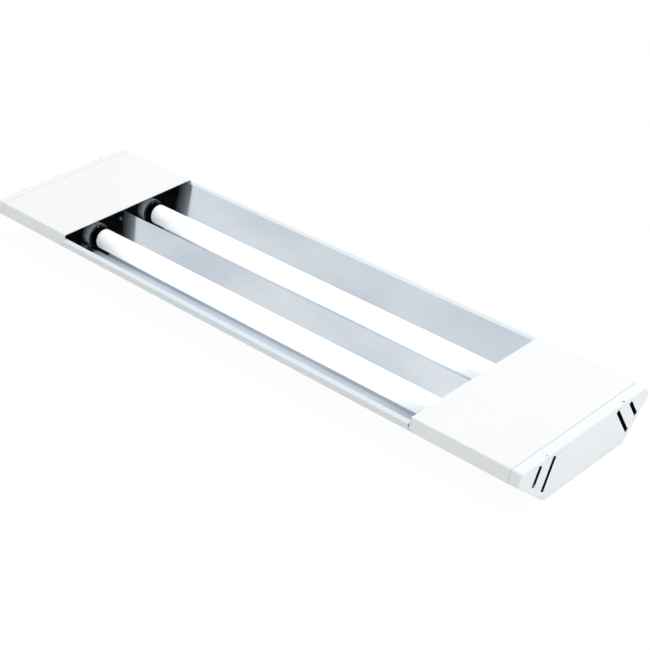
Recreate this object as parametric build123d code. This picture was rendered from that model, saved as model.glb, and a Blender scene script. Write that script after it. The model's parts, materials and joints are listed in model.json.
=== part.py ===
from build123d import *
import os
from math import cos, hypot, radians, tan

# Two-lamp surface luminaire lying on its back, light side up.
# X runs along the lamps, Y across them, Z up from the mounting face at Z = 0.
# The origin is the middle of the mounting face. All sizes are in millimetres.

# Lamps
lamp_length = 589.8
lamp_diameter = 26.0
lamp_spacing = 89.0
glass_wall = 0.8
lamp_cap_length = 10.0
lamp_cap_wall = 0.5
lamp_cap_gap = 0.05
pin_diameter = 2.35
pin_length = 7.1
pin_pitch = 12.7
pin_round = 0.6
stem_diameter = 9.0
stem_length = 22.0
filament_diameter = 1.6
filament_width = 14.0

# Lampholders
holder_diameter = 32.0
holder_depth = 14.0
holder_edge_round = 2.5
holder_end_gap = 0.4
holder_floor_gap = 3.0
holder_tail_width = 22.0
holder_tail_height = 22.0
holder_tail_length = 10.0
holder_tail_gap = 0.3
rotor_diameter = 18.0
rotor_depth = 8.0
rotor_fit = 0.08
rotor_end_gap = 0.3
pin_slot_gap = 0.15
entry_gap = 0.4
contact_thickness = 0.4
contact_width = 4.0
contact_height = 12.0
contact_gap = 0.05

# Housing trough, folded from one sheet
sheet = 0.8
sheet_bend = 1.2
base_margin = 20.5
rim_margin = 57.5
skirt_flare = 6.0
skirt_drop = 13.5
lamp_to_top = 28.5
rim_drop = 5.8
tab_width = 22.0
tab_height = 16.0
tab_inset = 31.0

# Reflector, folded from one mirror sheet and hooked over the housing rims
reflector_sheet = 0.5
reflector_bend = 0.4
wire_space = 3.7
crest_drop = 10.5
hem_depth = 6.8
hem_step = 0.4
rim_gap = 0.2
reflector_end_gap = 0.3

# Gear covers and their spring clips
cover_lap = 8.9
cover_sheet = 1.0
cover_bend = 0.8
cover_gap = 0.3
cover_rest_gap = 0.3
cover_seam = 0.4
corner_notch_length = 4.0
corner_notch_height = 2.0
clip_width = 12.0
clip_thickness = 0.6
clip_drop = 10.5
clip_plate = 9.0
clip_reach = 0.6
clip_inset = 18.0

# End caps
end_cap_depth = 13.0
end_cap_wall = 1.5
end_cap_round = 2.4
end_cap_corner = 3.0
lip_length = 5.0
lip_thickness = 1.6
lip_gap = 0.3
boss_diameter = 9.0
slot_width = 4.9
slot_lean = 29.0
slot_top_drop = 5.0
slot_edge = 28.5
slot_pitch = 22.0
slot_side_margin = 10.4
slot_round = 0.8
notch_width = 4.0
notch_length = 3.6
notch_depth = 0.9

# Screws of the end caps and starter sockets
screw_diameter = 2.9
screw_head_diameter = 5.6
screw_head_height = 2.0
screw_fit = 0.05
screw_clearance = 0.1
screw_tip_gap = 1.0
cap_screw_length = 9.0
socket_screw_length = 7.0

# Bulkheads that carry the lampholders
bulkhead_sheet = 1.0
bulkhead_gap = 0.5
bulkhead_flange = 12.0
bulkhead_foot = 10.0
bulkhead_foot_reach = 8.0
bulkhead_top_inset = 7.0
bulkhead_stud_inset = 16.0
bush_bore = 9.0
bush_wall = 1.5
bush_flange = 2.0
bush_length = 2.0

# Starters and their sockets
starter_diameter = 21.5
starter_length = 36.0
starter_headroom = 4.2
starter_pin_diameter = 4.7
starter_pin_length = 4.5
starter_pin_pitch = 12.7
starter_gap = 0.3
starter_round = 1.5
socket_width = 37.0
socket_height = 26.0
socket_depth = 9.0
socket_round = 1.5
socket_screw_inset = 3.5

# Ballasts
ballast_depth = 41.0
ballast_length = 110.0
ballast_tongue = 13.0
ballast_height = 28.0
ballast_foot = 1.5
ballast_round = 2.0
ballast_stud_inset = 6.0
ballast_space = 4.0
end_space = 13.9
strip_depth = 11.0
strip_width = 22.0
strip_height = 9.0

# Terminal blocks, earth point, cable entry and the cable between the ends
block_length = 38.0
block_depth = 17.0
block_height = 20.0
block_shelf = 8.0
block_pole_inset = 7.0
block_screw_diameter = 3.2
block_screw_inset = 3.0
block_screw_sink = 1.0
nut_recess_gap = 1.25
through_diameter = 7.0
through_seat = 3.0
through_gap = 0.1
cable_bore = 9.0
grommet_wall = 2.5
grommet_flange = 2.2
grommet_height = 3.4
grommet_space = 12.0
earth_space = 8.0

# Fixings on the housing floor
stud_diameter = 3.0
stud_gap = 0.25
stud_length = 5.0
nut_flats = 5.5
nut_height = 2.4
nut_fit = 0.03
mount_hole_diameter = 5.5
mount_edge = 20.0
mount_inset = 29.7

# Leads
lead_diameter = 2.2
lead_gap = 0.2
lead_depth = 4.0
lead_tip_gap = 0.3
lead_pitch = 8.3
lead_inset = 5.2
lead_run = 12.0
lead_bend = 0.45
lane_gap = 6.0

# Fits
lead_start = lead_depth - lead_tip_gap
screw_pilot = screw_diameter + 2 * screw_fit
screw_hole = screw_diameter + 2 * screw_clearance
bush_neck = bush_bore + 2 * bush_wall
grommet_neck = cable_bore + 2 * grommet_wall
stud_hole = stud_diameter + 2 * stud_gap
lead_hole = lead_diameter + 2 * lead_gap
nut_recess = nut_flats + 2 * nut_recess_gap
entry_slot_width = pin_diameter + 2 * entry_gap

# Places along X, from the middle outwards
lamp_end = lamp_length / 2
cover_start = lamp_end - cover_lap
holder_face = lamp_end + holder_end_gap
rotor_x = holder_face + rotor_end_gap
pocket_end = rotor_x + rotor_depth + rotor_end_gap
bulkhead_x = holder_face + holder_depth
gear_x = bulkhead_x + bulkhead_sheet
tail_end = gear_x + holder_tail_length
socket_end = gear_x + socket_depth
starter_x = socket_end + starter_gap
starter_end = starter_x + starter_length
mount_x = gear_x + mount_inset
block_start = mount_x - block_depth / 2
block_end = mount_x + block_depth / 2
ballast_x = starter_end + ballast_space
strip_x = ballast_x + ballast_round
lane_x = ballast_x - lane_gap
cover_end = ballast_x + ballast_depth + end_space
body_end = cover_end + cover_seam
fixture_end = body_end + end_cap_depth

# Heights
valley_z = sheet + wire_space + reflector_sheet
lamp_z = valley_z + holder_floor_gap + holder_diameter / 2
height = lamp_z + lamp_to_top
skirt_z = height - skirt_drop
rim_z = height - rim_drop
flange_z = rim_z - reflector_sheet - rim_gap
crest_z = height - crest_drop
cover_under = height - cover_sheet
rest_z = cover_under - cover_rest_gap
starter_z = cover_under - starter_headroom - starter_diameter / 2
boss_z = tab_height - boss_diameter / 2 - sheet
socket_screw_z = starter_z + socket_height / 2 - socket_screw_inset
holder_lead_z = lamp_z + holder_tail_height / 2 - lead_inset
socket_lead_z = starter_z - socket_height / 2 + lead_inset
strip_lead_z = sheet + ballast_height + strip_height / 2
block_top = sheet + block_height
block_lead_z = sheet + block_shelf / 2
block_side_z = sheet + block_height / 2
block_screw_z = block_lead_z + lead_hole

# Places across Y
lamp_y = lamp_spacing / 2
base_half = lamp_y + base_margin
top_half = lamp_y + rim_margin
skirt_half = top_half + skirt_flare
mount_y = base_half - mount_edge
tab_y = base_half - tab_inset
bulkhead_stud_y = lamp_y - bulkhead_stud_inset
socket_screw_y = socket_width / 2 - socket_screw_inset
ballast_core = ballast_length - 2 * ballast_tongue
ballast_stud_y = ballast_length / 2 - ballast_stud_inset
block_half = block_length / 2
block_pole_y = block_half - block_pole_inset
grommet_y = -block_half - grommet_space
earth_y = block_half + earth_space
outer_slot_y = top_half - slot_edge
hem_y = skirt_half - hem_step
lap_inset = cover_sheet + cover_gap
flange_inset = lap_inset + reflector_sheet + rim_gap
inner_lead_y = lamp_y - lead_pitch / 2
outer_lead_y = lamp_y + lead_pitch / 2
strip_y = (ballast_core - strip_width) / 2
near_strip_y = strip_y - strip_width / 4
far_strip_y = strip_y + strip_width / 4

# Slopes
wall_run = (skirt_half - base_half) / skirt_z
skirt_run = skirt_flare / skirt_drop
skirt_secant = hypot(1, skirt_run)
lean_run = tan(radians(slot_lean))

ENDS = {"left": -1, "right": 1}
ROWS = {"front": -1, "back": 1}
PAIR = (-1, 1)


def skirt_y(inset, z):
    """Half width at height z of a plane lying parallel to the sloping skirt, inset inwards from its face."""
    return top_half + (height - z) * skirt_run - inset * skirt_secant


def offset_points(points, distance):
    """Points of an open outline shifted to its left by a distance, with mitred corners."""
    spots = [Vector(*p) for p in points]
    runs = [(b - a).normalized() for a, b in zip(spots, spots[1:])]
    sides = [Vector(-r.Y, r.X) for r in runs]
    moved = [spots[0] + sides[0] * distance]
    for spot, before, after in zip(spots[1:], sides, sides[1:]):
        moved.append(spot + (before + after) * (distance / (1 + before.dot(after))))
    moved.append(spots[-1] + sides[-1] * distance)
    return [(m.X, m.Y) for m in moved]


def folded(skin, thickness, bend):
    """Face of a folded sheet seen end on. The skin is one side of the sheet, which lies to its left."""
    inner = offset_points(skin, thickness)
    spots = [Vector(*p) for p in skin]
    turns = [(b - a).cross(c - b).Z for a, b, c in zip(spots, spots[1:], spots[2:])]
    skin_radii = [bend + thickness if turn > 0 else bend for turn in turns]
    inner_radii = [bend if turn > 0 else bend + thickness for turn in turns]
    near = FilletPolyline(*skin, radius=skin_radii)
    far = FilletPolyline(*inner, radius=inner_radii)
    ends = [Line(skin[0], inner[0]), Line(skin[-1], inner[-1])]
    return make_face(near.edges() + far.edges() + [edge for line in ends for edge in line.edges()])


def mirrored(points):
    """Half an outline from the middle of +Y outwards, completed with its mirror image on -Y."""
    return [(-y, z) for y, z in reversed(points)] + list(points)


def along_x(face, start, end):
    return extrude(Plane.YZ.offset(start) * face, end - start)


def block(x0, x1, y0, y1, z0, z1):
    return Pos((x0 + x1) / 2, (y0 + y1) / 2, (z0 + z1) / 2) * Box(x1 - x0, y1 - y0, z1 - z0)


def bar(x0, x1, y, width, z0, z1):
    """A block of a given width centred on y."""
    return block(x0, x1, y - width / 2, y + width / 2, z0, z1)


def rod(diameter, length):
    return Cylinder(diameter / 2, length, align=(Align.CENTER, Align.CENTER, Align.MIN))


def rod_x(start, end, y, z, diameter):
    return Pos(start, y, z) * Rot(0, 90, 0) * rod(diameter, end - start)


def rod_y(x, start, end, z, diameter):
    return Pos(x, start, z) * Rot(-90, 0, 0) * rod(diameter, end - start)


def rod_z(x, y, start, end, diameter):
    return Pos(x, y, start) * rod(diameter, end - start)


def round_outer_end(shape, radius):
    """Round the edge of the end face furthest along +X."""
    return fillet(shape.faces().sort_by(Axis.X)[-1].edges(), radius)


def at_end(shape, side):
    """A shape made for the right end, turned half round about Z where the side names the left end."""
    return shape if side > 0 else Rot(0, 0, 180) * shape


def both_ends(shapes):
    return Compound(children=[at_end(shape, side) for side in ENDS.values() for shape in shapes])


def trough(rim):
    """Outer outline of the housing section, from the -Y rim round the base to the +Y rim."""
    shoulder = (skirt_y(flange_inset, 0) - base_half) / (wall_run + skirt_run)
    return mirrored([
        (base_half, 0),
        (base_half + shoulder * wall_run, shoulder),
        (skirt_y(flange_inset, rim), rim),
    ])


# Housing

def stud_places():
    """Places of the weld studs on the floor at the right end, and the height of what each one clamps."""
    places = [(mount_x, 0, block_shelf)]
    for side in PAIR:
        places.append((gear_x + bulkhead_foot / 2, side * bulkhead_stud_y, bulkhead_sheet))
        places.append((ballast_x + ballast_depth / 2, side * ballast_stud_y, ballast_foot))
    return places


def make_housing():
    shell = along_x(folded(trough(flange_z), sheet, sheet_bend), -body_end, body_end)
    for end in PAIR:
        for side in PAIR:
            tab = bar(body_end - sheet, body_end, side * tab_y, tab_width, 0, tab_height)
            tab -= rod_x(cover_end - sheet, fixture_end, side * tab_y, boss_z, screw_hole)
            shell += at_end(tab, end)
            shell -= rod_z(end * mount_x, side * mount_y, -sheet, 2 * sheet, mount_hole_diameter)
    return shell - rod_z(mount_x, grommet_y, -sheet, 2 * sheet, grommet_neck)


# Reflector

def make_reflector():
    """A vee under each lamp, a ridge between them and a hem over each housing rim, cut back under the covers."""
    half = [
        (hem_y, rim_z - hem_depth),
        (hem_y, rim_z),
        (skirt_y(flange_inset + sheet + rim_gap + reflector_sheet, rim_z), rim_z),
        (lamp_y, valley_z),
    ]
    skin = half + [(0, crest_z)] + [(-y, z) for y, z in reversed(half)]
    reach = bulkhead_x - reflector_end_gap
    mirror_sheet = along_x(folded(skin, reflector_sheet, reflector_bend), -reach, reach)
    lap_start = cover_start - cover_seam
    lap_y = skirt_y(lap_inset, rim_z)
    notch_start = holder_face - reflector_end_gap
    notch_width = holder_diameter + 2 * reflector_end_gap
    for end in PAIR:
        for side in PAIR:
            hem_end = bar(lap_start, bulkhead_x, side * (lap_y + skirt_half / 2), skirt_half, 0, height)
            notch = bar(notch_start, bulkhead_x, side * lamp_y, notch_width, 0, lamp_z)
            mirror_sheet -= at_end(hem_end + notch, end)
    return mirror_sheet


# Gear covers and their spring clips

def make_cover():
    skin = [(skirt_half, skirt_z), (top_half, height), (-top_half, height), (-skirt_half, skirt_z)]
    cover = along_x(folded(skin, cover_sheet, cover_bend), cover_start, cover_end)
    notch_top = skirt_z + corner_notch_height
    return cover - bar(0, cover_start + corner_notch_length, 0, 2 * fixture_end, 0, notch_top)


def make_cover_clips():
    """Four spring legs under a cover, each pressing on the inside of a housing flange."""
    leg_face = skirt_y(flange_inset + sheet, flange_z) - clip_reach
    outer = [
        (leg_face, cover_under - clip_drop),
        (leg_face, cover_under),
        (leg_face - clip_plate, cover_under),
    ]
    section = folded(outer, clip_thickness, clip_thickness)
    clips = []
    for x in (gear_x + clip_inset, cover_end - clip_inset):
        clip = along_x(section, x - clip_width / 2, x + clip_width / 2)
        clips += [clip, mirror(clip, about=Plane.XZ)]
    return Compound(children=clips)


# End caps

def vent_slot(top_y):
    """A vent slot leaning outwards at its foot, ending at a set margin from the sloping wall."""
    top_z = height - slot_top_drop
    drop = (base_half + wall_run * top_z - slot_side_margin - top_y) / (wall_run + lean_run)
    middle = Pos(top_y + drop * lean_run / 2, top_z - drop / 2)
    return middle * Rot(0, 0, slot_lean) * RectangleRounded(slot_width, drop / cos(radians(slot_lean)), slot_round)


def make_end_cap():
    outline = make_face(Polyline(*mirrored([(base_half, 0), (skirt_half, skirt_z), (top_half, height)]), close=True))
    outline = fillet(outline.vertices(), end_cap_corner)
    cap = round_outer_end(along_x(outline, body_end, fixture_end), end_cap_round)
    cap -= along_x(offset(outline, -end_cap_wall), 0, fixture_end - end_cap_wall)
    lip_outer = make_face(Polyline(*offset_points(trough(rest_z), sheet + lip_gap), close=True))
    lip = along_x(lip_outer - offset(lip_outer, -lip_thickness), body_end - lip_length, body_end + end_cap_wall)
    cap += lip - bar(0, fixture_end, 0, 2 * skirt_half, 0, tab_height + lip_gap)
    for side in PAIR:
        boss_y = side * tab_y
        tip = body_end - sheet + cap_screw_length
        cap += rod_x(body_end, fixture_end - end_cap_wall / 2, boss_y, boss_z, boss_diameter)
        cap -= rod_x(cover_end, tip + screw_tip_gap, boss_y, boss_z, screw_pilot)
        for top_y in (outer_slot_y - slot_pitch, outer_slot_y):
            slot = vent_slot(top_y)
            slot = slot if side > 0 else mirror(slot, about=Plane.YZ)
            cap -= along_x(slot, fixture_end - 2 * end_cap_wall, 2 * fixture_end)
        notch_y = side * (outer_slot_y - slot_pitch / 2)
        cap -= bar(fixture_end - notch_length, fixture_end, notch_y, notch_width, height - notch_depth, height)
    return cap


def screw(head_x, length, y, z):
    """A pan-head screw along +X with the underside of its head at head_x."""
    head = rod_x(head_x - screw_head_height, head_x, y, z, screw_head_diameter)
    return head + rod_x(head_x, head_x + length, y, z, screw_diameter)


def make_end_cap_screws():
    return both_ends([screw(body_end - sheet, cap_screw_length, side * tab_y, boss_z) for side in PAIR])


# Bulkheads, wire bushes and floor fixings

def make_bulkhead():
    rim = offset_points(trough(flange_z), sheet + bulkhead_gap)
    top = top_half - bulkhead_top_inset
    web = make_face(Polyline(*rim, (top, rest_z), (-top, rest_z), close=True))
    floor_z = sheet + bulkhead_sheet
    plate = along_x(web, bulkhead_x, gear_x)
    plate += bar(bulkhead_x, gear_x + bulkhead_foot, 0, 2 * (lamp_y + bulkhead_foot_reach), sheet, floor_z)
    plate += bar(bulkhead_x, gear_x + bulkhead_flange, 0, 2 * top, rest_z - bulkhead_sheet, rest_z)
    window_width = holder_tail_width + 2 * holder_tail_gap
    window_rise = holder_tail_height / 2 + holder_tail_gap
    for side in PAIR:
        plate -= bar(holder_face, socket_end, side * lamp_y, window_width, lamp_z - window_rise, lamp_z + window_rise)
        plate -= rod_z(gear_x + bulkhead_foot / 2, side * bulkhead_stud_y, 0, 2 * floor_z, stud_hole)
        plate -= rod_x(holder_face, socket_end, side * socket_screw_y, socket_screw_z, screw_hole)
    return plate - rod_x(holder_face, socket_end, 0, block_side_z, bush_neck)


def make_wire_bushes():
    neck = rod_x(bulkhead_x, gear_x + bush_length, 0, block_side_z, bush_neck)
    flange = rod_x(gear_x, gear_x + bush_length, 0, block_side_z, bush_neck + 2 * bush_flange)
    return both_ends([neck + flange - rod_x(holder_face, socket_end, 0, block_side_z, bush_bore)])


def make_floor_studs():
    return both_ends([
        rod_z(x, y, sheet, sheet + clamped + stud_length, stud_diameter) for x, y, clamped in stud_places()
    ])


def hex_nut(x, y, z):
    outline = RegularPolygon(nut_flats / 2, 6, major_radius=False) - Circle(stud_diameter / 2 + nut_fit)
    return Pos(x, y, z) * extrude(outline, nut_height)


def make_floor_nuts():
    return both_ends([hex_nut(x, y, sheet + clamped) for x, y, clamped in stud_places()])


# Lampholders, rotors and contacts, made for the right end

def make_lampholder(y):
    body = rod_x(holder_face, bulkhead_x, y, lamp_z, holder_diameter)
    body = fillet(body.faces().sort_by(Axis.X)[0].edges(), holder_edge_round)
    tail_rise = holder_tail_height / 2
    body += bar(bulkhead_x, tail_end, y, holder_tail_width, lamp_z - tail_rise, lamp_z + tail_rise)
    body -= rod_x(lamp_end, pocket_end, y, lamp_z, rotor_diameter + 2 * rotor_fit)
    body -= bar(lamp_end, pocket_end, y, entry_slot_width, lamp_z, lamp_z + holder_diameter)
    seat_end = pocket_end + contact_thickness + contact_gap
    seat_width = contact_width + 2 * contact_gap
    seat_rise = contact_height / 2 + contact_gap
    for side in PAIR:
        seat_y = y + side * pin_pitch / 2
        body -= bar(pocket_end, seat_end, seat_y, seat_width, lamp_z - seat_rise, lamp_z + seat_rise)
        body -= rod_x(tail_end - lead_depth, body_end, y + side * lead_pitch / 2, holder_lead_z, lead_hole)
    return body


def make_rotor(y):
    half_slot = pin_diameter / 2 + pin_slot_gap
    slot_end = lamp_end + pin_length + pin_slot_gap
    body = rod_x(rotor_x, rotor_x + rotor_depth, y, lamp_z, rotor_diameter)
    return body - bar(lamp_end, slot_end, y, 2 * rotor_diameter, lamp_z - half_slot, lamp_z + half_slot)


def make_contacts():
    rise = contact_height / 2
    leaves = []
    for row in PAIR:
        for side in PAIR:
            leaf_y = row * lamp_y + side * pin_pitch / 2
            leaf_end = pocket_end + contact_thickness
            leaves.append(bar(pocket_end, leaf_end, leaf_y, contact_width, lamp_z - rise, lamp_z + rise))
    return both_ends(leaves)


# Lamps

def make_tube(y):
    half = lamp_end - lamp_cap_wall - lamp_cap_gap
    glass = rod_x(-half, half, y, lamp_z, lamp_diameter)
    return glass - rod_x(-lamp_end, lamp_end, y, lamp_z, lamp_diameter - 2 * glass_wall)


def make_tube_cap(y):
    bore = lamp_diameter + 2 * lamp_cap_gap
    cap = rod_x(lamp_end - lamp_cap_length, lamp_end, y, lamp_z, bore + 2 * lamp_cap_wall)
    cap = round_outer_end(cap, lamp_cap_wall)
    cap -= rod_x(0, lamp_end - lamp_cap_wall, y, lamp_z, bore)
    for side in PAIR:
        cap -= rod_x(cover_start, bulkhead_x, y + side * pin_pitch / 2, lamp_z, pin_diameter)
    return cap


def make_pins(y):
    pins = []
    for side in PAIR:
        pin_y = y + side * pin_pitch / 2
        pin = rod_x(lamp_end - lamp_cap_wall, lamp_end + pin_length, pin_y, lamp_z, pin_diameter)
        pin = round_outer_end(pin, pin_round)
        pins += [pin, mirror(pin, about=Plane.YZ)]
    return Compound(children=pins)


def make_cathodes(y):
    base = lamp_end - lamp_cap_wall
    coil_x = base - stem_length
    cathode = rod_x(coil_x, base, y, lamp_z, stem_diameter)
    cathode += rod_y(coil_x, y - filament_width / 2, y + filament_width / 2, lamp_z, filament_diameter)
    return Compound(children=[cathode, mirror(cathode, about=Plane.YZ)])


# Starters and sockets, made for the right end

def make_socket():
    rise = socket_height / 2
    body = bar(gear_x, socket_end, 0, socket_width, starter_z - rise, starter_z + rise)
    body = fillet(body.edges().filter_by(Axis.X), socket_round)
    outer = starter_pin_pitch + starter_pin_diameter + 2 * starter_gap
    inner = starter_pin_pitch - starter_pin_diameter - 2 * starter_gap
    groove = rod_x(socket_end - starter_pin_length, starter_end, 0, starter_z, outer)
    body -= groove - rod_x(gear_x, fixture_end, 0, starter_z, inner)
    tip = bulkhead_x + socket_screw_length
    for side in PAIR:
        body -= rod_x(bulkhead_x, tip + screw_tip_gap, side * socket_screw_y, socket_screw_z, screw_pilot)
        body -= rod_x(socket_end - lead_depth, starter_end, side * socket_screw_y, socket_lead_z, lead_hole)
    return body


def make_starter():
    can = round_outer_end(rod_x(starter_x, starter_end, 0, starter_z, starter_diameter), starter_round)
    pin_tip = starter_x - starter_pin_length
    for side in PAIR:
        can += rod_x(pin_tip, starter_x, side * starter_pin_pitch / 2, starter_z, starter_pin_diameter)
    return can


def make_socket_screws():
    return both_ends([screw(bulkhead_x, socket_screw_length, side * socket_screw_y, socket_screw_z) for side in PAIR])


# Ballasts, made for the right end

def make_ballast():
    back = ballast_x + ballast_depth
    core = bar(ballast_x, back, 0, ballast_core, sheet, sheet + ballast_height)
    core = fillet(core.edges().filter_by(Axis.Y).sort_by(Axis.Z)[-2:], ballast_round)
    body = core + bar(ballast_x, back, 0, ballast_length, sheet, sheet + ballast_foot)
    for side in PAIR:
        body -= rod_z(ballast_x + ballast_depth / 2, side * ballast_stud_y, 0, ballast_height, stud_hole)
    return body


def make_ballast_strip():
    base = sheet + ballast_height
    strip = bar(strip_x, strip_x + strip_depth, -strip_y, strip_width, base, base + strip_height)
    for lead_y in (near_strip_y, far_strip_y):
        strip -= rod_x(ballast_x, strip_x + lead_depth, -lead_y, strip_lead_z, lead_hole)
    return strip


# Terminal blocks, cable entry and earth point, made for the right end

def make_terminal_block():
    body = bar(block_start, block_end, 0, block_length, sheet, block_top)
    body -= rod_z(mount_x, 0, 0, block_top, stud_hole)
    body -= rod_z(mount_x, 0, sheet + block_shelf, height, nut_recess)
    body -= rod_x(gear_x, block_start + through_seat, 0, block_side_z, through_diameter + 2 * through_gap)
    body -= rod_z(mount_x, socket_screw_y, block_top - lead_depth, height, lead_hole)
    body -= rod_y(mount_x, block_half - lead_depth, lamp_y, block_side_z, lead_hole)
    for side in PAIR:
        pole_y = side * block_pole_y
        body -= rod_x(block_end - lead_depth, ballast_x, pole_y, block_lead_z, lead_hole)
        screw_x = block_end - block_screw_inset
        body -= rod_z(screw_x, pole_y, block_screw_z, height, block_screw_diameter + 2 * screw_fit)
    return body


def make_terminal_screws():
    x = block_end - block_screw_inset
    top = block_top - block_screw_sink
    return both_ends([rod_z(x, side * block_pole_y, block_screw_z, top, block_screw_diameter) for side in PAIR])


def make_grommet():
    neck = rod_z(mount_x, grommet_y, 0, grommet_height, grommet_neck)
    flange = rod_z(mount_x, grommet_y, sheet, grommet_height, grommet_neck + 2 * grommet_flange)
    return neck + flange - rod_z(mount_x, grommet_y, -sheet, height, cable_bore)


def make_earth_stud():
    return rod_z(mount_x, earth_y, sheet, sheet + stud_length, stud_diameter)


def make_earth_nut():
    return hex_nut(mount_x, earth_y, sheet)


# Leads, made for the right end

def lead(*points):
    """Round insulated wire along straight runs joined by arcs that take a set share of the shorter run."""
    spots = [Vector(*p) for p in points]
    radii = []
    for a, b, c in zip(spots, spots[1:], spots[2:]):
        shorter = min((b - a).length, (c - b).length)
        radii.append(lead_bend * shorter / tan(radians((b - a).get_angle(c - b)) / 2))
    path = FilletPolyline(*points, radius=radii)
    profile = Plane(origin=path @ 0, z_dir=path % 0) * Circle(lead_diameter / 2)
    return sweep(profile, path=path)


def make_ballast_leads():
    """Ballast to front lampholder, and terminal block to ballast."""
    to_holder = lead(
        (strip_x + lead_start, -far_strip_y, strip_lead_z),
        (lane_x, -far_strip_y, strip_lead_z),
        (lane_x, -outer_lead_y, holder_lead_z),
        (tail_end - lead_start, -outer_lead_y, holder_lead_z),
    )
    to_block = lead(
        (block_end - lead_start, -block_pole_y, block_lead_z),
        (lane_x, -block_pole_y, block_lead_z),
        (lane_x, -near_strip_y, strip_lead_z),
        (strip_x + lead_start, -near_strip_y, strip_lead_z),
    )
    return both_ends([to_holder, to_block])


def make_starter_leads():
    """Front lampholder to starter socket, and starter socket to terminal block."""
    to_holder = lead(
        (tail_end - lead_start, -inner_lead_y, holder_lead_z),
        (tail_end + lead_run, -inner_lead_y, holder_lead_z),
        (tail_end + lead_run, -socket_screw_y, socket_lead_z),
        (socket_end - lead_start, -socket_screw_y, socket_lead_z),
    )
    to_block = lead(
        (socket_end - lead_start, socket_screw_y, socket_lead_z),
        (mount_x, socket_screw_y, socket_lead_z),
        (mount_x, socket_screw_y, block_top - lead_start),
    )
    return both_ends([to_holder, to_block])


def make_lamp_leads():
    """Terminal block to both contacts of the back lampholder."""
    outer = lead(
        (block_end - lead_start, block_pole_y, block_lead_z),
        (lane_x, block_pole_y, block_lead_z),
        (lane_x, outer_lead_y, holder_lead_z),
        (tail_end - lead_start, outer_lead_y, holder_lead_z),
    )
    inner = lead(
        (mount_x, block_half - lead_start, block_side_z),
        (mount_x, block_half + lead_run, block_side_z),
        (tail_end + lead_run, inner_lead_y, holder_lead_z),
        (tail_end - lead_start, inner_lead_y, holder_lead_z),
    )
    return both_ends([outer, inner])


def make_through_cable():
    """Sheathed cable through both wire bushes, between the two terminal blocks."""
    reach = block_start + through_seat - through_gap
    return rod_x(-reach, reach, 0, block_side_z, through_diameter)


parts = {
    "housing": make_housing(),
    "reflector": make_reflector(),
    "end_cap_screws": make_end_cap_screws(),
    "wire_bushes": make_wire_bushes(),
    "floor_studs": make_floor_studs(),
    "floor_nuts": make_floor_nuts(),
    "lampholder_contacts": make_contacts(),
    "starter_socket_screws": make_socket_screws(),
    "terminal_screws": make_terminal_screws(),
    "cable_grommet": make_grommet(),
    "earth_stud": make_earth_stud(),
    "earth_nut": make_earth_nut(),
    "through_cable": make_through_cable(),
    "ballast_leads": make_ballast_leads(),
    "starter_leads": make_starter_leads(),
    "lamp_leads": make_lamp_leads(),
}
for end, side in ENDS.items():
    parts[f"{end}_cover"] = at_end(make_cover(), side)
    parts[f"{end}_cover_clips"] = at_end(make_cover_clips(), side)
    parts[f"{end}_end_cap"] = at_end(make_end_cap(), side)
    parts[f"{end}_bulkhead"] = at_end(make_bulkhead(), side)
    parts[f"{end}_starter_socket"] = at_end(make_socket(), side)
    parts[f"{end}_starter"] = at_end(make_starter(), side)
    parts[f"{end}_ballast"] = at_end(make_ballast(), side)
    parts[f"{end}_ballast_terminals"] = at_end(make_ballast_strip(), side)
    parts[f"{end}_terminal_block"] = at_end(make_terminal_block(), side)
    for row, sign in ROWS.items():
        parts[f"{row}_{end}_lampholder"] = at_end(make_lampholder(side * sign * lamp_y), side)
        parts[f"{row}_{end}_rotor"] = at_end(make_rotor(side * sign * lamp_y), side)
        parts[f"{row}_{end}_tube_cap"] = at_end(make_tube_cap(side * sign * lamp_y), side)
for row, sign in ROWS.items():
    parts[f"{row}_tube_glass"] = make_tube(sign * lamp_y)
    parts[f"{row}_tube_pins"] = make_pins(sign * lamp_y)
    parts[f"{row}_tube_cathodes"] = make_cathodes(sign * lamp_y)

os.makedirs("parts", exist_ok=True)
for name, shape in parts.items():
    export_step(shape, f"parts/{name}.step")
print(len(parts), "nodes,", f"{2 * fixture_end:.1f} x {2 * skirt_half:.1f} x {height:.1f} mm")
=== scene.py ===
import bmesh
import bpy
import json
from math import cos, pi, radians, sin
from mathutils import Matrix, Vector


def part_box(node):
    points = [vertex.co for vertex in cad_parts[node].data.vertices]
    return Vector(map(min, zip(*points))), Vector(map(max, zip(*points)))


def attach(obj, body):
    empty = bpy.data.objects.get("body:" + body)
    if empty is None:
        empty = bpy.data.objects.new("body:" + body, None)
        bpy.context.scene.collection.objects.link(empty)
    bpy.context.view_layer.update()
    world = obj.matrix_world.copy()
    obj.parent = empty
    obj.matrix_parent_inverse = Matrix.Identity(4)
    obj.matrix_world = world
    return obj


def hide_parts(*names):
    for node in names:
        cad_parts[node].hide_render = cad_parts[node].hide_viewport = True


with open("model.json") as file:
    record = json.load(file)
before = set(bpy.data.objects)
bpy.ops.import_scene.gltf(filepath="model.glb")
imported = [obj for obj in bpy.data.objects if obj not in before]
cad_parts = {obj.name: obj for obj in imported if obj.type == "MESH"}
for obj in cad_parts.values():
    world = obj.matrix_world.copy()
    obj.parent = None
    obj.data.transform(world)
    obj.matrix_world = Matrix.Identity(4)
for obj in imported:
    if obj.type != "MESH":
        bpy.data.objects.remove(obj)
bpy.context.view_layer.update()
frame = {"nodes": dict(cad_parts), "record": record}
scene = bpy.context.scene
nodes = frame["nodes"]
MM = 0.001
UP = Vector((0, 0, 1))
ENDS = {"left": -1, "right": 1}
SMOOTH_BELOW = 35

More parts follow.
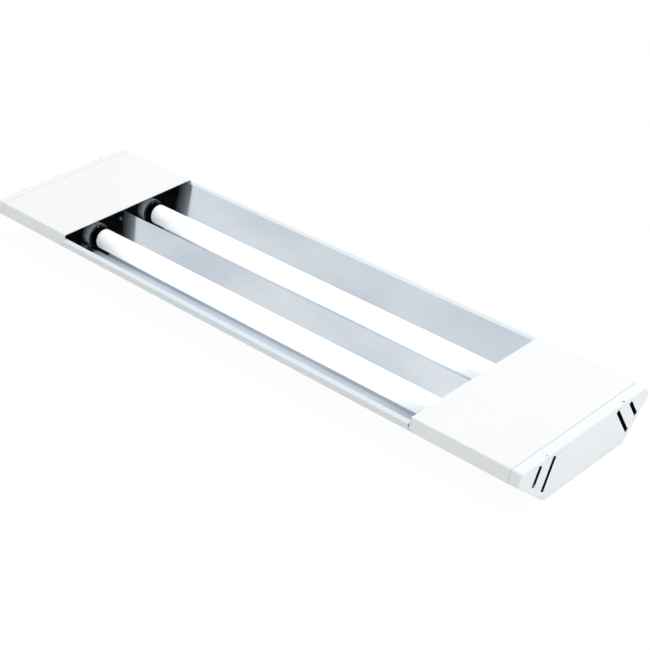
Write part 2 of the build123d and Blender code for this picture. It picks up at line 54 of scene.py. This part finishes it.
# Camera, placed by fitting the photograph's corners
CAMERA_PLACE = Vector((1.1540, -1.0696, 0.9663))
CAMERA_YAW = 135.62
CAMERA_PITCH = -31.73
CAMERA_ROLL = -1.70
CAMERA_FOCUS = 1574.3
IMAGE_WIDTH = 650
SENSOR = 36.0

# Where a finish or a painted shade sets in and where it is complete, in metres along X, across Y or up Z
COVER_EDGE = 0.2860
HOLDER_FACE = 0.2953
# Painted shade under the covers darkens over this span, inwards from their open edge
COVER_SHADE_DEPTH = (COVER_EDGE + 0.007, COVER_EDGE + 0.028)
# Painted shade on the lampholders: a dark band at the face, then darkening towards the bulkhead
EDGE_SHADE_END = (HOLDER_FACE + 0.0012, HOLDER_FACE + 0.0015)
DEEP_SHADE = (HOLDER_FACE + 0.006, HOLDER_FACE + 0.0125)
# The tubes' glow dims over this span towards the caps, as painted shade under the covers
CAP_SHADE_FADE = (0.195, 0.287)
RIM_START = (0.1004, 0.1008)
SLOT_SIDE = (0.0605, 0.0608)
SLOT_FOOT = (0.0025, 0.0030)
SLOT_TOP = (0.0490, 0.0492)
CAP_LEAN = 0.705

# Light and backdrop
AMBIENT = 0.55
AMBIENT_TINT = (0.93, 0.985, 1.0)
FLOOR_GREY = 0.9
FLOOR_GLOW = 1.02
FLOOR_SHARE = 0.93
BASE_REACH = (0.41, 0.058)

# Limits between which most of a noise lies
NOISE_LOW = 0.3
NOISE_HIGH = 0.7

# Sockets of a Mix node: its factor, then the two inputs and the output that a data type uses
MIX_FACTOR = 0
MIX_SOCKETS = {"RGBA": (6, 7, 2), "FLOAT": (2, 3, 0)}


def add_camera():
    yaw, pitch, roll = (radians(a) for a in (CAMERA_YAW, CAMERA_PITCH, CAMERA_ROLL))
    forward = Vector((cos(pitch) * cos(yaw), cos(pitch) * sin(yaw), sin(pitch)))
    level = Vector((sin(yaw), -cos(yaw), 0.0))
    upright = level.cross(forward)
    right = cos(roll) * level + sin(roll) * upright
    up = cos(roll) * upright - sin(roll) * level
    data = bpy.data.cameras.new("camera")
    data.sensor_width = SENSOR
    data.lens = CAMERA_FOCUS / IMAGE_WIDTH * SENSOR
    camera = bpy.data.objects.new("camera", data)
    turn = Matrix((right, up, -forward)).transposed().to_4x4()
    camera.matrix_world = Matrix.Translation(CAMERA_PLACE) @ turn
    scene.collection.objects.link(camera)
    scene.camera = camera


# Node helpers for materials

def maths(tree, operation, *values):
    """Result of a Math node that is fed by sockets or numbers."""
    node = tree.nodes.new("ShaderNodeMath")
    node.operation = operation
    for k, value in enumerate(values):
        if isinstance(value, bpy.types.NodeSocket):
            tree.links.new(value, node.inputs[k])
        else:
            node.inputs[k].default_value = value
    return node.outputs[0]


class Shader:
    """A material with one Principled shader, and short calls that add the nodes feeding it."""

    def __init__(self, name, colour, roughness, metallic=0.0, **settings):
        self.material = bpy.data.materials.new(name)
        self.material.use_nodes = True
        self.tree = self.material.node_tree
        self.main = next(n for n in self.tree.nodes if n.type == "BSDF_PRINCIPLED")
        self.main.inputs["Base Color"].default_value = (*colour, 1.0)
        self.main.inputs["Roughness"].default_value = roughness
        self.main.inputs["Metallic"].default_value = metallic
        for key, value in settings.items():
            self.main.inputs[key].default_value = value
        spot = self.add("ShaderNodeTexCoord")
        self.place = spot.outputs["Object"]
        self.turn = spot.outputs["Normal"]

    def add(self, kind, **values):
        node = self.tree.nodes.new(kind)
        for key, value in values.items():
            if hasattr(node, key):
                setattr(node, key, value)
            else:
                node.inputs[key].default_value = value
        return node

    def link(self, out, into):
        self.tree.links.new(out, into)

    def noise(self, scale, detail, stretch=(1.0, 1.0, 1.0), shift=(0.0, 0.0, 0.0)):
        """Noise in object space, scale in waves per metre, drawn out along an axis by a small stretch."""
        mapping = self.add("ShaderNodeMapping", Scale=stretch, Location=shift)
        self.link(self.place, mapping.inputs["Vector"])
        node = self.add("ShaderNodeTexNoise", Scale=scale, Detail=detail)
        self.link(mapping.outputs["Vector"], node.inputs["Vector"])
        return node.outputs["Fac"]

    def span(self, value, low, high, start=NOISE_LOW, end=NOISE_HIGH):
        """Low where the value is at the start, high where it is at the end, and even between them."""
        node = self.add("ShaderNodeMapRange")
        for key, number in (("From Min", start), ("From Max", end), ("To Min", low), ("To Max", high)):
            node.inputs[key].default_value = number
        self.link(value, node.inputs["Value"])
        return node.outputs["Result"]

    def part(self, vector, name):
        node = self.add("ShaderNodeSeparateXYZ")
        self.link(vector, node.inputs["Vector"])
        return node.outputs[name]

    def axis(self, vector, name):
        """Size of one part of a vector, whatever its sign."""
        return maths(self.tree, "ABSOLUTE", self.part(vector, name))

    def facing(self, low, high):
        """1 on faces that tilt up past high and 0 below low, or the reverse where high is under low."""
        return self.span(self.part(self.turn, "Z"), 0.0, 1.0, low, high)

    def times(self, first, second):
        return maths(self.tree, "MULTIPLY", first, second)

    def tint(self, value, first, second):
        """Base colour that runs between two colours."""
        ramp = self.add("ShaderNodeValToRGB")
        steps = zip(ramp.color_ramp.elements, (NOISE_LOW, NOISE_HIGH), (first, second))
        for element, position, colour in steps:
            element.position = position
            element.color = (*colour, 1.0)
        self.link(value, ramp.inputs["Fac"])
        self.link(ramp.outputs["Color"], self.main.inputs["Base Color"])
        return self

    def rough(self, value, low, high):
        self.link(self.span(value, low, high), self.main.inputs["Roughness"])
        return self

    def blend(self, socket, mask, value, kind):
        """Another value of a socket where the mask is 1, over what the socket has so far."""
        first, second, result = MIX_SOCKETS[kind]
        target = self.main.inputs[socket]
        mix = self.add("ShaderNodeMix", data_type=kind)
        self.link(mask, mix.inputs[MIX_FACTOR])
        if target.links:
            self.link(target.links[0].from_socket, mix.inputs[first])
        else:
            mix.inputs[first].default_value = target.default_value
        mix.inputs[second].default_value = value
        self.link(mix.outputs[result], target)
        return self

    def over(self, mask, colour):
        return self.blend("Base Color", mask, (*colour, 1.0), "RGBA")

    def mixed(self, socket, mask, number):
        return self.blend(socket, mask, number, "FLOAT")

    def bump(self, value, depth, edge=0.0):
        """Bump of a depth in metres, over edges rounded by a bevel."""
        node = self.add("ShaderNodeBump", Strength=1.0, Distance=depth)
        self.link(value, node.inputs["Height"])
        if edge:
            bevel = self.add("ShaderNodeBevel", Radius=edge)
            self.link(bevel.outputs["Normal"], node.inputs["Normal"])
        self.link(node.outputs["Normal"], self.main.inputs["Normal"])
        return self


# Materials

def shade(colour, factor):
    return tuple(c * factor for c in colour)


def coated(name, colour, roughness, peel=700.0, depth=0.00002, edge=0.0004, extra=None, **settings):
    """Powder coat or moulded plastic: faint cloudiness, a fine skin and slightly uneven gloss."""
    look = Shader(name, colour, roughness, **settings)
    clouds, gloss = look.noise(14.0, detail=4.0), look.noise(60.0, detail=5.0)
    look.tint(clouds, shade(colour, 0.985), colour)
    if extra:
        extra(look)
    look.rough(gloss, roughness * 0.85, roughness * 1.2)
    return look.bump(look.noise(peel, detail=2.0), depth, edge).material


def bare_metal(name, colour, roughness, grain=(1.0, 1.0, 1.0)):
    """Bare or plated metal with patchy gloss, and with a drawn grain where one is given."""
    fine = 900.0
    look = Shader(name, colour, roughness, metallic=1.0)
    look.tint(look.noise(45.0, detail=5.0), shade(colour, 0.88), colour)
    look.rough(look.noise(fine, detail=4.0, stretch=grain), roughness * 0.75, roughness * 1.3)
    return look.bump(look.noise(fine, detail=3.0, stretch=grain), depth=0.00001, edge=0.0002).material


def cover_inside_shade(look):
    """Painted shade under a cover: its downward faces darken from the open edge inwards, where less light
    reaches.
    """
    cover_shade_colour = (0.08, 0.09, 0.10)
    deep = look.span(look.axis(look.place, "X"), 0.0, 1.0, *COVER_SHADE_DEPTH)
    look.over(look.times(deep, look.facing(-0.15, -0.3)), cover_shade_colour)


def housing_inside_shade(look):
    """Painted shade: near-black on the floor and walls inside the trough, where little light reaches."""
    housing_shade_colour = (0.015, 0.015, 0.016)
    look.over(look.facing(0.5, 0.6), housing_shade_colour)


def slot_shade(look):
    """Painted shade: dark walls in the vent slots, well inside the end cap's leaning sides, and dark inner
    sides.
    """
    dark = (0.012, 0.012, 0.013)
    rise = look.axis(look.place, "Z")
    reach = maths(look.tree, "MULTIPLY_ADD", rise, -CAP_LEAN, look.axis(look.place, "Y"))
    mask = look.span(look.axis(look.turn, "X"), 1.0, 0.0, 0.4, 0.6)
    mask = look.times(mask, look.span(reach, 1.0, 0.0, *SLOT_SIDE))
    mask = look.times(mask, look.span(rise, 1.0, 0.0, *SLOT_TOP))
    mask = look.times(mask, look.span(rise, 0.0, 1.0, *SLOT_FOOT))
    look.over(mask, dark)
    outward = look.times(look.part(look.place, "Y"), look.part(look.turn, "Y"))
    look.over(look.span(outward, 1.0, 0.0, -0.02, -0.01), dark)


def holder_shade(look):
    """Painted shade on the lampholder: a dark band at its face next to the lamp's end, and shade that
    deepens towards the bulkhead.
    """
    edge_shade, deep_shade, deep_shade_share = (0.012, 0.013, 0.018), (0.04, 0.045, 0.05), 0.75
    along = look.axis(look.place, "X")
    look.over(look.span(along, 1.0, 0.0, *EDGE_SHADE_END), edge_shade)
    look.over(look.span(along, 0.0, deep_shade_share, *DEEP_SHADE), deep_shade)


def mirror_sheet():
    """Bright sheet, cloudy and finely mottled, with rolling lines along it and paint on its folded rims,
    lighter on their upright faces and darker on their tops as painted light and shade.
    """
    dull, bright, grazing = (0.55, 0.61, 0.67), (0.76, 0.805, 0.845), (0.58, 0.59, 0.61, 1.0)
    rim_paint_lit, rim_top_paint_shaded, rim_roughness = (0.84, 0.87, 0.89), (0.73, 0.785, 0.83), 0.4
    drawn, rolled, cloud_shift = (0.5, 1.0, 1.0), (0.02, 1.0, 1.0), (0.9, 0.6, 0.0)
    look = Shader("mirror_sheet", bright, 0.10, metallic=1.0, **{"Specular Tint": grazing})
    clouds = look.noise(9.0, detail=3.0, stretch=drawn, shift=cloud_shift)
    mottle = look.noise(130.0, detail=4.0, stretch=drawn)
    grain = look.noise(500.0, detail=4.0, stretch=rolled)
    look.tint(clouds, dull, bright)
    look.over(look.span(mottle, 0.2, 0.0), dull)
    look.rough(grain, 0.13, 0.18)
    rim = look.span(look.axis(look.place, "Y"), 0.0, 1.0, *RIM_START)
    # Paint on the folded rims: lighter on the upright faces and darker on the tops, as painted light and
    # shade
    look.over(rim, rim_paint_lit).mixed("Metallic", rim, 0.0).mixed("Roughness", rim, rim_roughness)
    look.over(look.times(rim, look.facing(0.6, 0.9)), rim_top_paint_shaded)
    return look.bump(grain, depth=0.000002).material


def phosphor_glass():
    """Glass with a white powder lining, with a glow that whitens its shading as painted light and dims
    towards the caps as painted shade under the covers.
    """
    colour, glow, shaded_end_glow = (0.93, 0.94, 0.95), 0.75, 0.26
    settings = {"Coat Weight": 0.4, "Coat Roughness": 0.05, "Emission Color": (*colour, 1.0),
                "Emission Strength": glow}
    look = Shader("tube_glass", colour, 0.16, **settings)
    streaks = look.noise(30.0, detail=4.0, stretch=(0.3, 1.0, 1.0))
    look.tint(streaks, shade(colour, 0.985), colour)
    look.rough(look.noise(200.0, detail=3.0), 0.14, 0.2)
    shaded = look.span(look.axis(look.place, "X"), 0.0, 1.0, *CAP_SHADE_FADE)
    look.mixed("Emission Strength", shaded, shaded_end_glow)
    return look.bump(look.noise(60.0, detail=2.0), depth=0.00001).material


def stacked_steel():
    """Edges of thin lacquered sheets, stacked across the fixture."""
    colour = (0.30, 0.31, 0.32)
    look = Shader("ballast_case", colour, 0.45, metallic=0.7)
    sheets = look.noise(1200.0, detail=1.0, stretch=(0.01, 1.0, 0.01))
    look.tint(sheets, shade(colour, 0.6), colour)
    look.rough(look.noise(90.0, detail=4.0), 0.35, 0.55)
    return look.bump(sheets, depth=0.0001, edge=0.0003).material


WHITE = (0.895, 0.886, 0.890)
MATERIALS = {
    "white_paint": coated("white_paint", WHITE, 0.38),
    "cover_paint_and_shade": coated("cover_paint_and_shade", WHITE, 0.38, extra=cover_inside_shade),
    "housing_paint_and_shade": coated("housing_paint_and_shade", WHITE, 0.38, extra=housing_inside_shade),
    # End caps: white moulding with painted shade in the vent slots and on the inner sides
    "white_moulding": coated("white_moulding", (0.89, 0.90, 0.91), 0.34, peel=1100.0, depth=0.00001,
                             edge=0.0005, extra=slot_shade),
    "mirror_sheet": mirror_sheet(),
    # Near-black bulkheads with little sheen: painted shade where the gear compartments lie in shade
    "black_paint": coated("black_paint", (0.003, 0.003, 0.004), 0.7, **{"Specular IOR Level": 0.1}),
    "holder_plastic": coated("holder_plastic", (0.80, 0.85, 0.88), 0.34, extra=holder_shade),
    "rotor_plastic": coated("rotor_plastic", (0.40, 0.41, 0.42), 0.45),
    "tube_glass": phosphor_glass(),
    # Near-black metal on the lamp caps: a painted reflection of the dark space under the covers that they
    # mirror
    "cap_metal": bare_metal("cap_metal", (0.030, 0.033, 0.045), 0.20, grain=(0.1, 1.0, 1.0)),
    "brass": bare_metal("brass", (0.52, 0.36, 0.12), 0.20),
    "steel": bare_metal("steel", (0.45, 0.46, 0.47), 0.20),
    "spring_steel": bare_metal("spring_steel", (0.20, 0.21, 0.23), 0.20),
    "ballast_case": stacked_steel(),
    "gear_plastic": coated("gear_plastic", (0.68, 0.67, 0.62), 0.45),
    "starter_can": coated("starter_can", (0.76, 0.76, 0.72), 0.34),
    "black_rubber": coated("black_rubber", (0.02, 0.02, 0.02), 0.7, peel=900.0),
    "lead_white": coated("lead_white", (0.66, 0.66, 0.63), 0.4),
    "lead_brown": coated("lead_brown", (0.09, 0.035, 0.015), 0.4),
    "lead_blue": coated("lead_blue", (0.02, 0.07, 0.26), 0.4),
}


def dress_cad_nodes():
    """The record's finishes on the CAD nodes, but covers and housing are white outside with painted shade
    inside.
    """
    special = {"left_cover": "cover_paint_and_shade", "right_cover": "cover_paint_and_shade", "housing": "housing_paint_and_shade"}
    for part in frame["record"]["subparts"]:
        mesh = nodes[part["node"]].data
        mesh.materials.clear()
        mesh.materials.append(MATERIALS[special.get(part["node"], part["material_slot"])])


# Building blocks of the detail pieces, which stand where the CAD solids are

def solids_of(node):
    """Lowest and highest corner of each separate solid of a CAD node."""
    bm = bmesh.new()
    bm.from_mesh(nodes[node].data)
    bmesh.ops.remove_doubles(bm, verts=bm.verts, dist=1e-6)
    left = set(bm.verts)
    boxes = []
    while left:
        ahead = [left.pop()]
        spots = []
        while ahead:
            vert = ahead.pop()
            spots.append(vert.co.copy())
            near = [edge.other_vert(vert) for edge in vert.link_edges]
            fresh = [other for other in near if other in left]
            left.difference_update(fresh)
            ahead += fresh
        boxes.append([Vector([pick(spot[k] for spot in spots) for k in range(3)]) for pick in (min, max)])
    bm.free()
    return sorted(boxes, key=lambda box: tuple(box[0]))


def foot_of(low, high):
    """Middle of a box's underside."""
    return Vector(((low.x + high.x) / 2, (low.y + high.y) / 2, low.z))


def inner_end(low, high, away, shift):
    """Middle of a box's end that faces the fixture's middle, moved outwards by a shift in millimetres."""
    near = (low[0] if away > 0 else high[0]) + away * shift * MM
    return Vector((near, (low[1] + high[1]) / 2, (low[2] + high[2]) / 2))


def new_piece(name, bm, body, slot, *replaced):
    """A smooth-shaded piece that rides on a body and stands for the CAD nodes named last."""
    bmesh.ops.recalc_face_normals(bm, faces=bm.faces)
    mesh = bpy.data.meshes.new(name)
    bm.to_mesh(mesh)
    bm.free()
    mesh.shade_smooth()
    mesh.set_sharp_from_angle(angle=radians(SMOOTH_BELOW))
    mesh.materials.append(MATERIALS[slot])
    piece = bpy.data.objects.new(name, mesh)
    scene.collection.objects.link(piece)
    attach(piece, body)
    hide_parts(*replaced)


def walls(bm, near, far):
    """Faces between two loops of equal length."""
    for k in range(len(near)):
        bm.faces.new((near[k - 1], near[k], far[k], far[k - 1]))


def skin(bm, loops):
    """Faces between loops, with the first one closed and the last one open."""
    for near, far in zip(loops, loops[1:]):
        walls(bm, near, far)
    bm.faces.new(loops[0])


def solid(bm, loops):
    """Faces between loops, with both ends closed."""
    skin(bm, loops)
    bm.faces.new(loops[-1])


def turned(bm, place, axis, rings, steps=48):
    """Loops of a turned form in millimetres.

    Each ring is a distance along the axis and a radius, or a rule that gives the radius."""
    tilt = UP.rotation_difference(axis).to_matrix()
    angles = [2 * pi * k / steps for k in range(steps)]
    loops = []
    for along, radius in rings:
        reach = [radius(a, along) if callable(radius) else radius for a in angles]
        spots = [Vector((r * cos(a), r * sin(a), along)) * MM for a, r in zip(angles, reach)]
        loops.append([bm.verts.new(place + tilt @ spot) for spot in spots])
    return loops


def recess(bm, place, axis, rim, outline, depth):
    """A flat face inside a rim, with a hollow of the given outline sunk into it."""
    tilt = UP.rotation_difference(axis).to_matrix()
    top, foot = ([bm.verts.new(place + tilt @ Vector((x, y, z)) * MM) for x, y in outline]
                 for z in (0, -depth))
    walls(bm, top, foot)
    bm.faces.new(foot)
    edges = [bm.edges.get((loop[k - 1], loop[k])) for loop in (rim, top) for k in range(len(loop))]
    bmesh.ops.triangle_fill(bm, edges=edges, use_beauty=True)


def cross(arm, width):
    w = width / 2
    quarter = [(w, w), (w, arm), (-w, arm)]
    turns = [(1, 0), (0, 1), (-1, 0), (0, -1)]
    return [(c * x - s * y, s * x + c * y) for c, s in turns for x, y in quarter]


def thread(radius, pitch):
    """Radius of a screw thread at an angle and a distance along it."""
    depth = 0.32 * pitch

    def at(angle, along):
        phase = (along / pitch - angle / (2 * pi)) % 1.0
        return radius - depth * abs(2 * phase - 1)
    return at


def hexagon(flats, limit):
    """Radius of a hexagon with corners on X, rounded off to a limit."""
    return lambda angle, along: min(flats / 2 / cos(angle % (pi / 3) - pi / 6), limit)


# Detail pieces

def pan_screws(node):
    """Pan-head screws with a cross recess, their heads towards the middle of the fixture."""
    rise, tip, tip_radius, unthreaded, step, pitch = 2.0, 1.2, 0.4, 1.6, 0.15, 1.0
    recess_arm, recess_width, recess_depth = 1.3, 0.6, 1.1
    bm = bmesh.new()
    for low, high in solids_of(node):
        size = (high - low) / MM
        head, shank, length = size.y / 2, size.y * 0.26, size.x - rise
        away = 1 if low.x > 0 else -1
        axis = Vector((-away, 0, 0))
        under = inner_end(low, high, away, rise)
        count = int((length - unthreaded) / step)
        rings = [(-length, tip_radius)]
        rings += [(-length + tip + step * k, thread(shank, pitch)) for k in range(count)]
        rings += [(0.0, shank), (0.0, head), (0.9, head), (1.5, head * 0.9), (1.85, head * 0.76),
                  (rise, head * 0.62)]
        loops = turned(bm, under, axis, rings)
        skin(bm, loops)
        top = under + axis * rise * MM
        recess(bm, top, axis, loops[-1], cross(recess_arm, recess_width), recess_depth)
    new_piece(node + "_cut", bm, "body", "steel", node)


def hex_nuts(node):
    """Nuts with eased corners and a countersunk bore."""
    bore, ease = 1.53, 0.3
    bm = bmesh.new()
    for low, high in solids_of(node):
        size = (high - low) / MM
        flats, rise = size.y, size.z
        whole, eased = hexagon(flats, flats), hexagon(flats, flats * 0.53)
        rings = [(ease, bore), (0, bore + ease), (0, eased), (ease, whole), (rise - ease, whole),
                 (rise, eased), (rise, bore + ease), (rise - ease, bore)]
        loops = turned(bm, foot_of(low, high), UP, rings)
        for near, far in zip(loops, loops[1:] + loops[:1]):
            walls(bm, near, far)
    new_piece(node + "_chamfered", bm, "body", "steel", node)


def weld_studs(node):
    """Threaded studs with a plain foot and an eased tip."""
    plain, start, unthreaded, step, pitch, steps = 0.5, 0.7, 1.2, 0.1, 0.5, 32
    bm = bmesh.new()
    for low, high in solids_of(node):
        size = (high - low) / MM
        radius, rise = size.x / 2, size.z
        count = int((rise - unthreaded) / step)
        rings = [(0, radius), (plain, radius)]
        rings += [(start + step * k, thread(radius, pitch)) for k in range(count)]
        rings += [(rise, radius * 0.72)]
        solid(bm, turned(bm, foot_of(low, high), UP, rings, steps))
    new_piece(node + "_threaded", bm, "body", "steel", node)


def slotted_screws(node):
    """Screws with a straight slot across a short head."""
    head, ease, tip, slot_width, slot_depth = 2.0, 0.3, 0.5, 0.6, 0.8
    bm = bmesh.new()
    for low, high in solids_of(node):
        size = (high - low) / MM
        radius, rise = size.x / 2, size.z
        place = foot_of(low, high)
        rings = [(0, radius * 0.7), (tip, radius * 0.9), (rise - head, radius * 0.9), (rise - head, radius),
                 (rise - ease, radius), (rise, radius * 0.85)]
        loops = turned(bm, place, UP, rings)
        skin(bm, loops)
        x, y = radius * 0.75, slot_width / 2
        slot = [(x, y), (-x, y), (-x, -y), (x, -y)]
        recess(bm, place + UP * rise * MM, UP, loops[-1], slot, slot_depth)
    new_piece(node + "_slotted", bm, "body", "brass", node)


def tube_cap(row, end):
    """A drawn shell with a rolled bead, a ring of crimps and a sunk disc."""
    node = f"{row}_{end}_tube_cap"
    away = ENDS[end]
    place = inner_end(*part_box(node), away, 0.0)
    wall, crimps, dent, steps = 13.24, 8, 0.18, 96

    def crimp(angle, along):
        return wall - dent * max(0.0, cos(crimps * angle)) ** 4

    inside = [(9.47, 0.3), (9.47, 13.03), (0, 13.03)]
    bead = [(0, 13.3), (0.2, 13.48), (0.6, 13.55), (1.0, 13.48), (1.3, 13.3), (1.6, wall)]
    side = [(2.8, wall), (3.3, crimp), (4.1, crimp), (4.6, wall), (8.3, wall)]
    shoulder = [(9.0, 13.05), (9.6, 12.5), (9.9, 11.7), (10, 10.8), (10, 8.6)]
    disc = [(9.75, 8.4), (9.75, 0.3)]
    bm = bmesh.new()
    solid(bm, turned(bm, place, Vector((away, 0, 0)), inside + bead + side + shoulder + disc, steps))
    new_piece(node + "_shell", bm, f"{row}_lamp", "cap_metal", node)


def starter(end):
    """A ribbed can with a flange at its foot, on two headed pins."""
    node = f"{end}_starter"
    away = ENDS[end]
    axis = Vector((away, 0, 0))
    pin_length, pin_pitch, pin_steps = 4.5, 12.7, 32
    can, rib, ribs, can_steps = 10.3, 0.4, 12, 144
    place = inner_end(*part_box(node), away, pin_length)

    def ribbed(angle, along):
        return can + rib * abs(cos(ribs * angle))

    flange = [(0, 0.3), (0, 10.4), (0.3, 10.75), (2.4, 10.75), (2.8, can)]
    barrel = [(3.2, ribbed), (27, ribbed), (27.5, can), (34.2, 10.25)]
    top = [(35.2, 9.8), (35.8, 8.9), (36, 7.8), (36, 6.6), (35.5, 6.2), (35.5, 0.3)]
    bm = bmesh.new()
    solid(bm, turned(bm, place, axis, flange + barrel + top, can_steps))
    new_piece(f"{end}_starter_can", bm, node, "starter_can", node)
    pin = [(0, 1.6), (-2.9, 1.6), (-3.1, 2.25), (-3.5, 2.35), (-4.1, 2.35), (-4.4, 2.1), (-pin_length, 1.6)]
    bm = bmesh.new()
    for side in (-1, 1):
        spot = place + Vector((0, side * pin_pitch / 2 * MM, 0))
        solid(bm, turned(bm, spot, axis, pin, pin_steps))
    new_piece(f"{end}_starter_pins", bm, node, "brass", node)


def slab_loops(bm, centre, half, chamfer, levels):
    """Loops of a rectangle in XZ with cut corners, in millimetres.

    Each level is a place along Y and an inset by which the rectangle is drawn in there."""
    loops = []
    for along, inset in levels:
        hx, hz = half[0] - inset, half[1] - inset
        corner = [(hx, hz - chamfer), (hx - chamfer, hz)]
        right = corner + [(-x, z) for x, z in reversed(corner)]
        outline = right + [(-x, -z) for x, z in right]
        loops.append([bm.verts.new(centre + Vector((x, along, z)) * MM) for x, z in outline])
    return loops


def foot_plate(bm, low, size, side, rise):
    """Half of a foot plate, with rounded corners and a hole for its stud."""
    corner, corner_steps, bore, bore_inset, bore_steps = 4.0, 6, 1.75, 6, 24
    middle = low + Vector((size.x / 2, size.y / 2, 0)) * MM
    reach, width = size.y / 2, size.x / 2
    outline = [(width, 0)]
    for x, start in ((width - corner, 0), (-(width - corner), pi / 2)):
        turns = [start + pi / 2 * k / corner_steps for k in range(corner_steps + 1)]
        outline += [(x + corner * cos(a), reach - corner + corner * sin(a)) for a in turns]
    outline.append((-width, 0))
    turns = [2 * pi * k / bore_steps for k in range(bore_steps)]
    hole = [(bore * cos(a), reach - bore_inset + bore * sin(a)) for a in turns]
    levels = []
    for z in (0, rise):
        rims = [[bm.verts.new(middle + Vector((x, side * y, z)) * MM) for x, y in rim]
                for rim in (outline, hole)]
        edges = [bm.edges.new((rim[k - 1], rim[k])) for rim in rims for k in range(len(rim))]
        bmesh.ops.triangle_fill(bm, edges=edges, use_beauty=True)
        levels.append(rims)
    for near, far in zip(*levels):
        walls(bm, near, far)


def ballast(end):
    """A stack of thin sheets held by two straps, on a foot plate with rounded ends."""
    node = f"{end}_ballast"
    low, high = (Vector(corner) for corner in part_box(node))
    size = (high - low) / MM
    centre = (low + high) / 2
    tongue, foot, sheets, inset, stagger = 13.0, 1.5, 84, 0.5, 0.14
    strap, strap_ease = 5.0, 0.2
    core_chamfer, strap_chamfer = 1.2, 1.6
    core = size.y - 2 * tongue
    lift = centre + Vector((0, 0, foot / 2)) * MM
    half = (size.x / 2, (size.z - foot) / 2)
    levels = []
    for k in range(sheets):
        start = -core / 2 + k * core / sheets
        depth = inset + stagger * (k % 2)
        levels += [(start, depth), (start + core / sheets, depth)]
    bm = bmesh.new()
    solid(bm, slab_loops(bm, lift, half, core_chamfer, levels))
    new_piece(f"{end}_ballast_core", bm, "body", "ballast_case", node)
    bm = bmesh.new()
    flat = strap - strap_ease
    for side in (-1, 1):
        middle = side * core * 0.36
        levels = [(middle - strap, strap_ease), (middle - flat, 0), (middle + flat, 0),
                  (middle + strap, strap_ease)]
        solid(bm, slab_loops(bm, lift, half, strap_chamfer, levels))
    for side in (-1, 1):
        foot_plate(bm, low, size, side, foot)
    new_piece(f"{end}_ballast_frame", bm, "body", "steel", node)


def add_details():
    for node in ("end_cap_screws", "starter_socket_screws"):
        pan_screws(node)
    for node in ("floor_nuts", "earth_nut"):
        hex_nuts(node)
    for node in ("floor_studs", "earth_stud"):
        weld_studs(node)
    slotted_screws("terminal_screws")
    for end in ENDS:
        starter(end)
        ballast(end)
        for row in ("front", "back"):
            tube_cap(row, end)


# Floor, backdrop and light

def seen_share(tree, share):
    """The given share for camera, glossy and transmission rays, and 0 for light that falls on things."""
    path = tree.nodes.new("ShaderNodeLightPath")
    total = path.outputs["Is Camera Ray"]
    for name in ("Is Glossy Ray", "Is Transmission Ray"):
        total = maths(tree, "MAXIMUM", total, path.outputs[name])
    return maths(tree, "MULTIPLY", total, share)


def beyond(tree, reach):
    """1 on the floor around the fixture, 0 where its base covers the floor."""
    spot = tree.nodes.new("ShaderNodeTexCoord")
    parts = tree.nodes.new("ShaderNodeSeparateXYZ")
    tree.links.new(spot.outputs["Object"], parts.inputs["Vector"])
    sizes = [maths(tree, "ABSOLUTE", parts.outputs[name]) for name in ("X", "Y")]
    past = [maths(tree, "GREATER_THAN", size, limit) for size, limit in zip(sizes, reach)]
    return maths(tree, "MAXIMUM", *past)


def add_floor():
    """A wide floor that is white to the camera and takes a faint shadow."""
    reach, drop = 6.0, 0.0005
    corners = [(-reach, -reach, 0), (reach, -reach, 0), (reach, reach, 0), (-reach, reach, 0)]
    mesh = bpy.data.meshes.new("floor")
    mesh.from_pydata(corners, [], [(0, 1, 2, 3)])
    floor = bpy.data.objects.new("floor", mesh)
    floor.location.z = -drop
    scene.collection.objects.link(floor)
    material = bpy.data.materials.new("floor")
    material.use_nodes = True
    tree = material.node_tree
    tree.nodes.clear()
    out = tree.nodes.new("ShaderNodeOutputMaterial")
    mix = tree.nodes.new("ShaderNodeMixShader")
    matt = tree.nodes.new("ShaderNodeBsdfDiffuse")
    matt.inputs["Color"].default_value = (FLOOR_GREY, FLOOR_GREY, FLOOR_GREY, 1.0)
    glow = tree.nodes.new("ShaderNodeEmission")
    glow.inputs["Strength"].default_value = FLOOR_GLOW
    share = maths(tree, "MULTIPLY", seen_share(tree, FLOOR_SHARE), beyond(tree, BASE_REACH))
    tree.links.new(share, mix.inputs["Fac"])
    tree.links.new(matt.outputs[0], mix.inputs[1])
    tree.links.new(glow.outputs[0], mix.inputs[2])
    tree.links.new(mix.outputs[0], out.inputs["Surface"])
    mesh.materials.append(material)


def add_world():
    """A dim sky to light the fixture, which the camera and reflections see as white."""
    world = bpy.data.worlds.new("studio")
    scene.world = world
    world.use_nodes = True
    tree = world.node_tree
    first, second, result = MIX_SOCKETS["RGBA"]
    mix = tree.nodes.new("ShaderNodeMix")
    mix.data_type = "RGBA"
    mix.inputs[first].default_value = (*shade(AMBIENT_TINT, AMBIENT), 1.0)
    mix.inputs[second].default_value = (1.0, 1.0, 1.0, 1.0)
    tree.links.new(seen_share(tree, 1.0), mix.inputs[MIX_FACTOR])
    tree.links.new(mix.outputs[result], tree.nodes["Background"].inputs["Color"])


def add_softbox(name, place, aim, size, power):
    """A square lamp that reflections don't show."""
    data = bpy.data.lights.new(name, "AREA")
    data.shape = "RECTANGLE"
    data.size = data.size_y = size
    data.energy = power
    light = bpy.data.objects.new(name, data)
    light.location = place
    light.rotation_mode = "QUATERNION"
    light.rotation_quaternion = (Vector(aim) - Vector(place)).to_track_quat("-Z", "Y")
    light.visible_glossy = False
    scene.collection.objects.link(light)


add_camera()
dress_cad_nodes()
add_details()
add_floor()
add_world()
add_softbox("overhead", place=(0.1, 0.5, 2.2), aim=(0.0, 0.0, 0.0), size=2.4, power=36.0)
add_softbox("side", place=(2.4, 0.2, 0.7), aim=(0.4, 0.0, 0.03), size=1.2, power=7.5)
scene.view_settings.view_transform = "Standard"
